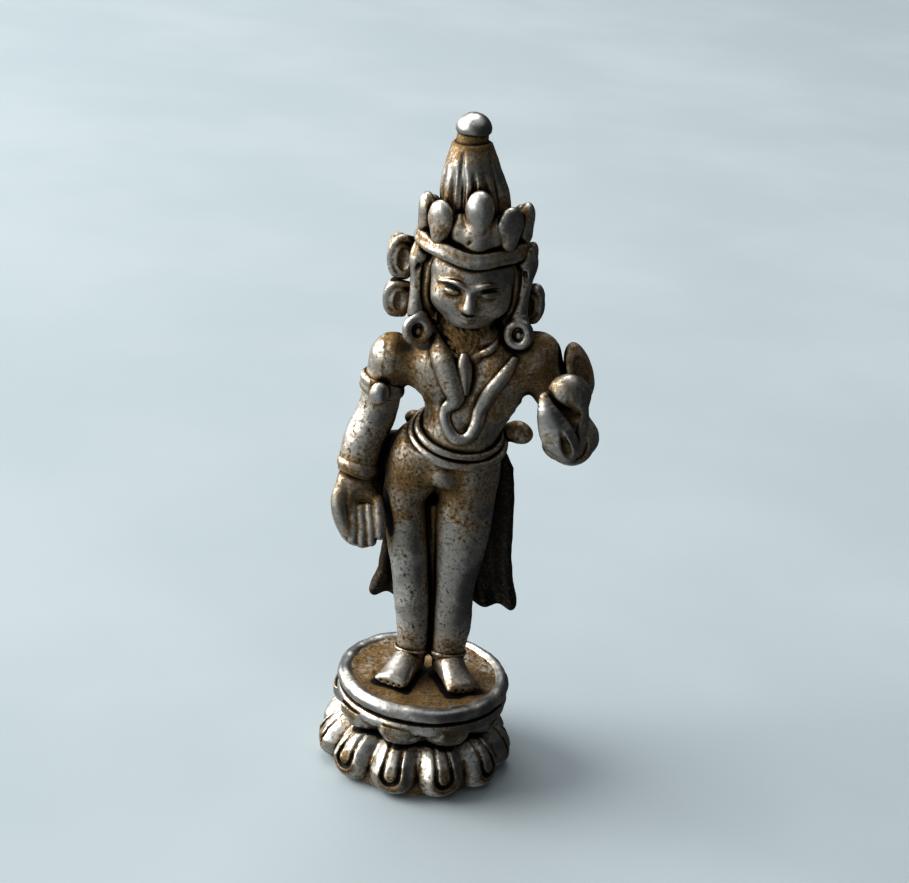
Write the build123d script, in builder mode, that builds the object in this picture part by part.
"""Miniature cast figure: a crowned, standing bodhisattva on a double lotus.

Millimetres, +Z up. The figure faces -Y, so +X is the figure's own left. The origin is on the
floor, under the middle of the round pedestal. Each block is one piece of the modeller's wax:
pieces meet face to face, because a later piece is cut back around the earlier ones it touches.
"""
import os
from math import cos, radians, sin

from build123d import *

# ---- driving dimensions ---------------------------------------------------------------------
disc_top = 7.35            # standing surface of the pedestal
disc_r = 6.10              # pedestal drum, inside its two rolled rims
disc_bottom = 5.45
ankle_z = 9.30             # where a foot meets its leg
crown_z = 43.0             # crown band at the sides of the head
topknot_top = 50.15
total_height = 52.04

lower_count = 11           # petals in each row, and where one of them is centred, in degrees
upper_count = 9            # from straight ahead (negative: to the figure's right)
lower_first = -11.5
upper_first = -12.0
lotus_shift = -0.2         # the lotus was cast slightly off the axis of the pedestal

roll_r = 0.46              # section radius of the pedestal's rolled rims
cord_r = 0.30              # necklace and armlet
anklet_r = 0.21
garland_bend = 0.50        # tightest turn of the garland, over half its width
band_r = 0.45              # crown band and chest garland
ribbon_r = 0.50
peg_r = 0.55               # tenons under the feet
peg_depth = 1.2

# ---- the figure's joints: (x, y, z) ----------------------------------------------------------
right_ankle = (-1.56, 0.3, ankle_z)
left_ankle = (1.67, 0.3, ankle_z)
waist = (0.65, 0.3, 27.3)
right_shoulder = (-4.95, 0.3, 33.3)
right_elbow = (-5.5, 0.5, 28.6)
right_wrist = (-6.75, -0.4, 23.7)
left_shoulder = (5.95, 0.3, 34.6)
left_elbow = (9.6, 0.5, 28.4)
left_wrist = (8.6, -3.3, 28.9)
head_centre = (0.45, -0.3, 40.4)
hair_centre = (0.45, 0.25, 41.3)
topknot_base = (0.30, 0.0, 43.4)
topknot_tip = (-0.58, 0.0, topknot_top)

waist_plane = Plane(origin=waist, x_dir=(1, 0, -0.12), z_dir=(0.12, -0.55, 1))


pieces = {}                # every finished piece, by name


# ---- helpers ---------------------------------------------------------------------------------
def cross_section(point, along):
    """A plane through point, square to the direction along, with its X as near world X as can be."""
    along = along.normalized()
    level = Vector(1, 0, 0) - along * along.X
    return Plane(origin=point, x_dir=level, z_dir=along)


def limb(stations, balls=()):
    """Loft through ellipses, with balls (centre, radius) added for a rounded shoulder or elbow.
    A station is (x, y, z, half width, half depth)."""
    points = [Vector(*station[:3]) for station in stations]
    with BuildPart() as piece:
        for index, (*_, half_width, half_depth) in enumerate(stations):
            before = points[max(index - 1, 0)]
            after = points[min(index + 1, len(points) - 1)]
            with BuildSketch(cross_section(points[index], after - before)):
                Ellipse(half_width, half_depth)
        loft()
        for centre, radius in balls:
            with Locations(centre):
                Sphere(radius)
    return piece


def ellipsoid(centre, half_sizes, tilt=(0, 0, 0)):
    """A closed egg, turned by tilt (degrees about X, Y, Z) about its own centre."""
    with BuildPart() as piece:
        Sphere(1)
        scale(by=half_sizes)
    piece.part = Location(centre, tilt) * piece.part
    return piece


def tube(plane, points, bend, section):
    """A round bar of radius section along straight runs and arcs drawn on a plane."""
    with BuildPart() as piece:
        with BuildLine(plane) as path:
            FilletPolyline(*points, radius=bend)
        with BuildSketch(Plane(origin=path.line @ 0, z_dir=path.line % 0)):
            Circle(section)
        sweep(path=path.line)
    return piece


def arc_tube(start, middle, end, section):
    """A round bar of radius section along the arc through three points."""
    with BuildPart() as piece:
        with BuildLine() as path:
            ThreePointArc(start, middle, end)
        with BuildSketch(Plane(origin=path.line @ 0, z_dir=path.line % 0)):
            Circle(section)
        sweep(path=path.line)
        for end_point in (start, end):
            with Locations(end_point):
                Sphere(section)
    return piece


def hoop(plane, half_width, half_depth, section):
    """An elliptical ring of round section lying on a plane."""
    with BuildPart() as piece:
        with BuildLine(plane) as path:
            EllipticalCenterArc((0, 0), half_width, half_depth, arc_size=360)
        with BuildSketch(Plane(origin=path.line @ 0, z_dir=path.line % 0)):
            Circle(section)
        sweep(path=path.line)
    return piece


def seat(name, piece, *others):
    """Cut a piece back around others that are already made, then label it for writing."""
    with BuildPart() as seated:
        add(piece.part)
        for other in others:
            add(other.part, mode=Mode.SUBTRACT)
    seated.part.label = name
    pieces[name] = seated
    return seated


def polar(centre, radius, degrees, z):
    """A point round a vertical axis; 0 degrees is straight ahead, positive to the figure's left."""
    return (centre[0] + radius * sin(radians(degrees)), centre[1] - radius * cos(radians(degrees)), z)

# ---- lotus base ------------------------------------------------------------------------------
with BuildPart() as lotus_core:
    with BuildSketch(Plane(origin=(lotus_shift, 0, 0), x_dir=(1, 0, 0), z_dir=(0, -1, 0))):
        with BuildLine():
            Line((0, 0), (6.55, 0))
            Spline((6.55, 0), (6.75, 1.0), (6.3, 2.3), (5.0, 3.7), (5.2, 4.6), (5.7, disc_bottom))
            Polyline((5.7, disc_bottom), (0, disc_bottom), (0, 0))
        make_face()
    revolve(axis=Axis((lotus_shift, 0, 0), (0, 0, 1)))
seat("lotus_core", lotus_core)


def petal_ring(name, count, first, profile, half_widths, foot, crest, groove_r):
    """Petals round the core: profile is the outer edge (r, z); the outline is a rounded tongue
    from foot (its round lower end) to crest, with two grooves beside a raised midrib. The half
    widths are those of the round end and of the crest."""
    half_width, crest_half_width = half_widths
    with BuildPart() as petal:
        with BuildSketch(Plane.XZ):
            with BuildLine():
                Spline(*profile)
                Polyline(profile[-1], (4.0, profile[-1][1]), (4.0, profile[0][1]), profile[0])
            make_face()
        revolve(axis=Axis.Z)
        with BuildSketch(Plane.YZ.offset(4.0)):
            with BuildLine():
                Line((-crest_half_width, crest), (-half_width, foot + half_width))
                ThreePointArc((-half_width, foot + half_width), (0, foot), (half_width, foot + half_width))
                Polyline((half_width, foot + half_width), (crest_half_width, crest),
                         (-crest_half_width, crest))
            make_face()
        extrude(amount=5, mode=Mode.INTERSECT)
        with BuildSketch(Plane.YZ.offset(groove_r)):
            for side in (-1, 1):
                with Locations((side * half_width * 0.42, foot + half_width * 1.5)):
                    SlotOverall(half_width * 1.25, half_width * 0.26, rotation=90)
        extrude(amount=3, mode=Mode.SUBTRACT)
    with BuildPart() as ring:
        with PolarLocations(0, count, start_angle=first - 90):
            add(petal.part)
    ring.part = Location((lotus_shift, 0, 0)) * ring.part
    seat(name, ring, lotus_core)


lower_edge = [(6.8, 0.1), (7.35, 1.0), (7.35, 2.0), (6.7, 3.0), (5.35, 3.75)]
upper_edge = [(5.2, 3.8), (5.95, 4.3), (6.3, 4.9), (6.25, disc_bottom)]
petal_ring("lower_petals", lower_count, lower_first, lower_edge, (1.72, 1.20), 0.1, 3.7, 7.15)
petal_ring("upper_petals", upper_count, upper_first, upper_edge, (1.55, 1.6), 3.8, disc_bottom, 6.1)


def rim_roll(name, z, radius):
    """One rolled moulding round the pedestal."""
    with BuildPart() as roll:
        with BuildSketch(Plane.XZ):
            with Locations((radius, z)):
                Circle(roll_r)
        revolve(axis=Axis.Z)
    return seat(name, roll)


upper_roll = rim_roll("rim_upper_roll", disc_top - roll_r, 6.26)
lower_roll = rim_roll("rim_lower_roll", disc_bottom + roll_r, 6.22)

with BuildPart() as pedestal_disc:
    with BuildSketch(Plane.XY.offset(disc_bottom)):
        Circle(disc_r)
    extrude(amount=disc_top - disc_bottom)
    with Locations((right_ankle[0], 0, disc_top), (left_ankle[0], 0, disc_top)):
        Hole(radius=peg_r, depth=peg_depth)
seat("pedestal_disc", pedestal_disc, upper_roll, lower_roll)


# ---- feet and legs ---------------------------------------------------------------------------
def anklet(name, ankle, radius):
    """A thin cord round the ankle."""
    return seat(name, hoop(Plane(origin=ankle), radius, radius, anklet_r))


right_anklet = anklet("right_anklet", right_ankle, 1.12)
left_anklet = anklet("left_anklet", left_ankle, 1.25)


def foot(name, ankle, plan, instep, ring):
    """A wedge on the plan outline, sloping from the ankle to the toes, with a tenon beneath."""
    with BuildPart() as piece:
        with BuildSketch(Plane.XY.offset(disc_top)):
            Polygon(*plan, align=None)
        extrude(amount=ankle_z - disc_top)
        split(bisect_by=Plane(origin=(ankle[0], -0.55, ankle_z), z_dir=instep), keep=Keep.BOTTOM)
        with BuildSketch(Plane.XY.offset(disc_top - peg_depth)):
            with Locations((ankle[0], 0)):
                Circle(peg_r)
        extrude(amount=peg_depth)
    return seat(name, piece, ring)


right_foot = foot("right_foot", right_ankle,
                  [(-2.7, 1.2), (-0.35, 1.2), (-0.4, -0.8), (-1.4, -3.4), (-3.7, -2.5), (-2.8, -0.5)],
                  (-0.2, -0.50, 1), right_anklet)
left_foot = foot("left_foot", left_ankle,
                 [(0.6, 1.2), (2.8, 1.2), (3.2, -0.2), (4.75, -1.75), (2.6, -3.5), (1.6, -2.7), (0.65, -0.6)],
                 (0.25, -0.50, 1), left_anklet)

right_leg = limb([(-1.42, 0.3, ankle_z, 1.20, 1.1), (-1.58, 0.3, 13.0, 1.40, 1.3),
                  (-2.06, 0.2, 16.7, 1.50, 1.5), (-2.51, 0.2, 19.4, 1.58, 1.65),
                  (-2.86, 0.3, 22.0, 1.62, 1.85), (-2.7, 0.4, 24.0, 1.7, 1.95)])
left_leg = limb([(1.67, 0.3, ankle_z, 1.28, 1.1), (1.74, 0.3, 12.0, 1.48, 1.3), (1.68, 0.2, 14.5, 1.48, 1.4),
                 (1.74, 0.1, 17.0, 1.72, 1.55), (1.83, 0.1, 19.5, 2.00, 1.72), (1.8, 0.2, 22.0, 2.15, 1.95),
                 (1.8, 0.4, 24.0, 2.1, 2.0)])
right_leg = seat("right_leg", right_leg, right_anklet, right_foot)
left_leg = seat("left_leg", left_leg, left_anklet, left_foot)

# ---- belt, garland and necklace --------------------------------------------------------------
belt = seat("belt", hoop(waist_plane, 3.5, 2.85, 0.50))
waist_cord = seat("waist_cord", hoop(waist_plane.offset(0.95), 3.3, 2.55, 0.26))

chest_plane = Plane(origin=(0.6, -2.25, 31), x_dir=(1, 0, 0), z_dir=(0, -1, 0.08))
garland_line = [(-2.2, 3.9), (-1.1, 2.2), (-0.5, 0.7), (-1.05, -0.8), (-0.75, -2.2), (0.1, -2.95),
                (0.9, -2.75), (1.35, -1.8), (1.5, -0.5), (2.05, 0.9), (3.3, 3.3)]
with BuildPart() as garland:
    with BuildSketch(chest_plane):
        with BuildLine():
            FilletPolyline(*garland_line, radius=garland_bend)
        trace(line_width=2 * band_r)
    extrude(amount=band_r, both=True)
garland = seat("chest_garland", garland)
pendant = seat("pendant", ellipsoid((0.8, -2.35, 33.1), (0.42, 0.48, 1.5), (0, -8, 0)), garland)
collar_plane = Plane(origin=(0.6, -1.7, 35), x_dir=(1, 0, 0), z_dir=(0, -1, 0.5))
collar_line = [(-2.9, 1.3), (-1.5, 0.0), (0.1, -0.75), (1.5, 0.1), (2.9, 1.5)]
necklace = seat("necklace", tube(collar_plane, collar_line, 0.5, cord_r), garland, pendant)


# ---- right arm: hanging, palm forward ---------------------------------------------------------
def ring_round(name, start, end, share, radius, section):
    """A round cord ring at share of the way along a limb segment."""
    first = Vector(*start)
    along = Vector(*end) - first
    return seat(name, hoop(cross_section(first + along * share, along), radius, radius, section))


right_armlet = ring_round("right_armlet", right_shoulder, right_elbow, 0.50, 1.52, 0.3)
right_bracelet = ring_round("right_bracelet", right_elbow, right_wrist, 0.86, 1.05, 0.5)
armlet_boss = ellipsoid((-5.3, -1.55, 30.8), (0.62, 0.5, 0.85), (0, 12, 0))
armlet_boss = seat("right_armlet_boss", armlet_boss, right_armlet)
right_upper_arm = limb([(*right_shoulder, 1.55, 1.6), (-5.25, 0.35, 31.0, 1.5, 1.5),
                        (*right_elbow, 1.45, 1.45)], balls=[(right_shoulder, 1.62)])
right_upper_arm = seat("right_upper_arm", right_upper_arm, right_armlet, armlet_boss)
right_forearm = limb([(*right_elbow, 1.5, 1.5), (-6.3, 0.05, 26.1, 1.5, 1.42),
                      (*right_wrist, 1.3, 1.15)])
right_forearm = seat("right_forearm", right_forearm, right_bracelet, right_upper_arm)
right_hand = limb([(*right_wrist, 1.2, 1.05), (-6.35, -0.6, 22.2, 1.75, 0.95),
                   (-5.95, -0.8, 20.3, 1.85, 0.95), (-5.5, -1.2, 18.9, 1.45, 0.9),
                   (-5.2, -1.5, 18.0, 0.9, 0.55)])
right_hand = seat("right_hand", right_hand, right_bracelet, right_forearm)
right_thumb = limb([(-7.35, -0.9, 22.6, 0.5, 0.5), (-7.45, -1.3, 21.2, 0.55, 0.6),
                    (-6.75, -1.8, 19.8, 0.35, 0.4)])
right_thumb = seat("right_thumb", right_thumb, right_hand, right_forearm, right_bracelet)

# ---- left arm: raised, fingers curled over the palm --------------------------------------------
left_bracelet = ring_round("left_bracelet", left_elbow, left_wrist, 0.88, 1.22, 0.32)
bud = seat("shoulder_bud", ellipsoid((9.35, -0.1, 34.0), (0.85, 0.8, 2.0), (0, -22, 0)))
left_upper_arm = limb([(*left_shoulder, 1.6, 1.65), (7.85, 0.5, 31.5, 1.45, 1.5), (*left_elbow, 1.35, 1.45)],
                      balls=[(left_shoulder, 1.66), (left_elbow, 1.4)])
left_upper_arm = seat("left_upper_arm", left_upper_arm, bud)
left_forearm = limb([(*left_elbow, 1.3, 1.35), (9.15, -1.4, 28.6, 1.3, 1.3), (*left_wrist, 1.15, 1.1)])
left_forearm = seat("left_forearm", left_forearm, left_upper_arm, left_bracelet)
left_palm = limb([(8.75, -3.35, 28.2, 1.0, 1.0), (8.55, -3.6, 29.5, 1.3, 1.1),
                  (8.35, -3.75, 31.2, 1.6, 0.85), (8.2, -3.8, 32.6, 1.6, 0.75)])
left_palm = seat("left_palm", left_palm, left_forearm, left_bracelet)
left_fingers = limb([(8.2, -3.8, 32.6, 1.6, 0.75), (8.1, -3.9, 33.9, 1.5, 0.85),
                     (7.95, -4.3, 34.7, 1.2, 0.6)])
left_fingers = seat("left_fingers", left_fingers, left_palm)
left_thumb = limb([(8.6, -4.5, 28.9, 0.55, 0.5), (7.6, -4.9, 30.6, 0.75, 0.5), (6.9, -4.8, 32.0, 0.6, 0.5),
                   (6.7, -4.7, 32.9, 0.3, 0.3)])
left_thumb = seat("left_thumb", left_thumb, left_palm, left_forearm, left_bracelet, left_fingers)


# ---- head and crown ----------------------------------------------------------------------------
crown_plane = Plane(origin=(0.2, -0.15, crown_z), x_dir=(1, 0, 0), z_dir=(0.02, -0.22, 1))
crown_band = seat("crown_band", hoop(crown_plane, 3.85, 3.55, band_r))

front_tier = ellipsoid((0.5, -2.95, 44.3), (1.65, 0.8, 1.05))
front_bud = ellipsoid((0.5, -3.15, 45.6), (0.98, 0.85, 1.85))
with BuildPart() as front_leaf:
    add(front_bud.part)
    add(front_tier.part)
front_leaf = seat("crown_front_leaf", front_leaf, crown_band)

leaf_angles = {"first": 43, "second": 80, "third": 114}
leaf_heights = {"first": 1.45, "second": 1.3, "third": 0.95}
crown_leaves = [front_leaf]
for side, sign in (("right", -1), ("left", 1)):
    for order, degrees in leaf_angles.items():
        height = leaf_heights[order]
        centre = polar((0.25, -0.05), 3.55, sign * degrees, crown_z + 0.3 + height)
        leaf = ellipsoid(centre, (0.78, 0.6, height), (0, 0, sign * degrees))
        crown_leaves.append(seat(f"crown_{side}_{order}_leaf", leaf, crown_band, *crown_leaves))

topknot = limb([(*topknot_base, 2.35, 2.3), (0.12, 0, 45.4, 2.48, 2.4), (-0.15, 0, 47.4, 2.1, 2.05),
                (-0.4, 0, 49.0, 1.62, 1.6), (*topknot_tip, 1.2, 1.2)])
topknot = seat("topknot", topknot, *crown_leaves)
finial_height = total_height - topknot_top
finial = ellipsoid((topknot_tip[0], 0, topknot_top + finial_height * 0.4), (1.3, 1.3, finial_height * 0.6))
seat("finial", finial, topknot)


def earring(name, centre):
    """A round disc with a sunk socket and a bead in it, facing forward."""
    with BuildPart() as piece:
        with BuildSketch(Plane(origin=centre, x_dir=(1, 0, 0), z_dir=(0, -1, 0))):
            Circle(1.12)
        extrude(amount=0.35, both=True)
        with BuildSketch(Plane(origin=centre, x_dir=(1, 0, 0), z_dir=(0, -1, 0))):
            Circle(0.68)
        extrude(amount=0.5, mode=Mode.SUBTRACT)
        with Locations(centre):
            Sphere(0.36)
    return seat(name, piece)


right_earring = earring("right_earring", (-3.1, -1.6, 36.1))
left_earring = earring("left_earring", (4.2, -1.6, 36.6))

skull = ellipsoid(head_centre, (3.1, 3.25, 3.45))
nose = limb([(0.45, -3.2, 40.8, 0.35, 0.4), (0.45, -3.35, 39.5, 0.62, 0.65)])
with BuildPart() as head:
    add(skull.part)
    add(nose.part)
head = seat("head", head, crown_band, front_leaf)

right_ear = limb([(-3.5, -0.6, 42.0, 0.35, 0.5), (-3.65, -0.8, 41.0, 0.55, 0.75),
                  (-3.5, -1.1, 39.4, 0.45, 0.6), (-3.3, -1.4, 37.2, 0.5, 0.45)])
left_ear = limb([(4.0, -0.6, 42.2, 0.35, 0.5), (4.25, -0.8, 41.2, 0.55, 0.75), (4.2, -1.1, 39.7, 0.45, 0.6),
                 (4.2, -1.4, 37.7, 0.5, 0.45)])
right_ear = seat("right_ear", right_ear, right_earring, head, crown_band)
left_ear = seat("left_ear", left_ear, left_earring, head, crown_band)

ribbon_arcs = {
    "right_upper_ribbon": ((-4.35, 0.9, 42.0), (-5.3, 1.0, 40.8), (-4.5, 1.0, 39.4)),
    "right_lower_ribbon": ((-4.5, 1.0, 38.5), (-5.35, 1.0, 37.5), (-4.3, 1.0, 36.5)),
    "left_upper_ribbon": ((4.35, 0.9, 42.4), (4.75, 1.0, 41.2), (4.5, 1.0, 40.1)),
    "left_lower_ribbon": ((4.9, 1.0, 39.2), (5.65, 1.0, 38.1), (4.7, 1.0, 37.0)),
}
ribbons = []
for name, arc in ribbon_arcs.items():
    ribbons.append(seat(name, arc_tube(*arc, ribbon_r), crown_band, right_ear, left_ear))

with BuildPart() as hair_cap:
    add(ellipsoid(hair_centre, (3.75, 3.55, 3.4)).part)
    split(bisect_by=Plane(origin=(0.45, -3.0, 42.6), z_dir=(0, 0.62, 1)), keep=Keep.TOP)
hair_cap = seat("hair_cap", hair_cap, head, crown_band, topknot, *crown_leaves, right_ear, left_ear, *ribbons)
back_hair = limb([(0.45, 2.3, 40.5, 3.3, 1.2), (0.5, 2.1, 38.0, 3.4, 0.9), (0.55, 1.9, 35.4, 2.9, 0.7)])
back_hair = seat("back_hair", back_hair, head, hair_cap, *ribbons)
neck = limb([(0.55, 0.1, 35.0, 2.2, 1.9), (0.5, 0.0, 36.6, 1.9, 1.65), (0.45, -0.2, 38.4, 1.9, 1.6)])
neck = seat("neck", neck, head, back_hair, necklace, right_earring, left_earring)

# ---- trunk -------------------------------------------------------------------------------------
loincloth = ellipsoid((-0.2, -1.95, 24.6), (1.0, 0.6, 1.0))
loincloth = seat("loincloth_knot", loincloth, right_leg, left_leg, belt)

hip_form = limb([(-0.35, 0.3, 22.3, 3.5, 1.6), (-0.35, 0.3, 23.6, 4.2, 2.15), (-0.3, 0.2, 25.4, 4.25, 2.5),
                 (0.3, 0.3, 27.6, 3.5, 2.5), (0.6, 0.3, 30.0, 3.3, 2.3)])
with BuildPart() as hips:
    add(hip_form.part)
    split(bisect_by=waist_plane, keep=Keep.BOTTOM)
hips = seat("hips", hips, belt, waist_cord, right_leg, left_leg, loincloth, right_hand, right_forearm,
            right_thumb)

torso_form = limb([(0.6, 0.4, 25.2, 3.2, 2.1), (0.95, 0.3, 28.6, 3.15, 2.1), (1.2, 0.25, 31.0, 4.2, 2.3),
                   (1.0, 0.2, 33.2, 5.1, 2.3), (0.75, 0.2, 34.9, 4.3, 1.95), (0.6, 0.1, 36.0, 2.3, 1.6)])
with BuildPart() as torso:
    add(torso_form.part)
    split(bisect_by=waist_plane, keep=Keep.TOP)
torso = seat("torso", torso, belt, waist_cord, garland, necklace, pendant, right_upper_arm,
             left_upper_arm, neck, right_earring, left_earring, back_hair)

right_knot = ellipsoid((-3.0, 1.6, 28.1), (0.9, 0.7, 0.8))
left_knot = ellipsoid((5.0, 1.4, 27.7), (1.15, 0.75, 0.95))
right_knot = seat("right_waist_knot", right_knot, torso, hips, belt, waist_cord)
left_knot = seat("left_waist_knot", left_knot, torso, hips, belt, waist_cord)

# ---- cloth behind the legs, ending in two fluted fishtails -----------------------------------------
cape_front = 1.35
cape_thickness = 1.25
with BuildPart() as cape:
    with BuildSketch(Plane.XZ.offset(-cape_front)):
        with BuildLine():
            Spline((4.2, 25.8), (5.38, 21.9), (5.77, 17.7), (6.95, 12.9))
            ThreePointArc((6.95, 12.9), (5.2, 12.4), (3.3, 12.6))
            Line((3.3, 12.6), (-3.1, 12.5))
            ThreePointArc((-3.1, 12.5), (-4.2, 12.6), (-5.2, 13.0))
            Spline((-5.2, 13.0), (-4.1, 16.9), (-4.3, 21.5), (-3.9, 26.3))
            Line((-3.9, 26.3), (4.2, 25.8))
        make_face()
    extrude(amount=-cape_thickness)
    for x in (4.6, 6.1):
        with BuildSketch(Plane(origin=(x, 1.5, 12.75), z_dir=(0, 0, 1))):
            Ellipse(0.68, 0.62)
        with BuildSketch(Plane(origin=(x * 0.86, 1.6, 18.0), z_dir=(0, 0, 1))):
            Ellipse(0.3, 0.2)
        loft()
seat("back_drape", cape, right_leg, left_leg, hips, belt, right_hand, right_forearm, right_thumb,
     right_knot, left_knot)

# ---- write -----------------------------------------------------------------------------------------
os.makedirs("parts", exist_ok=True)
for name, piece in pieces.items():
    export_step(piece.part, f"parts/{name}.step")
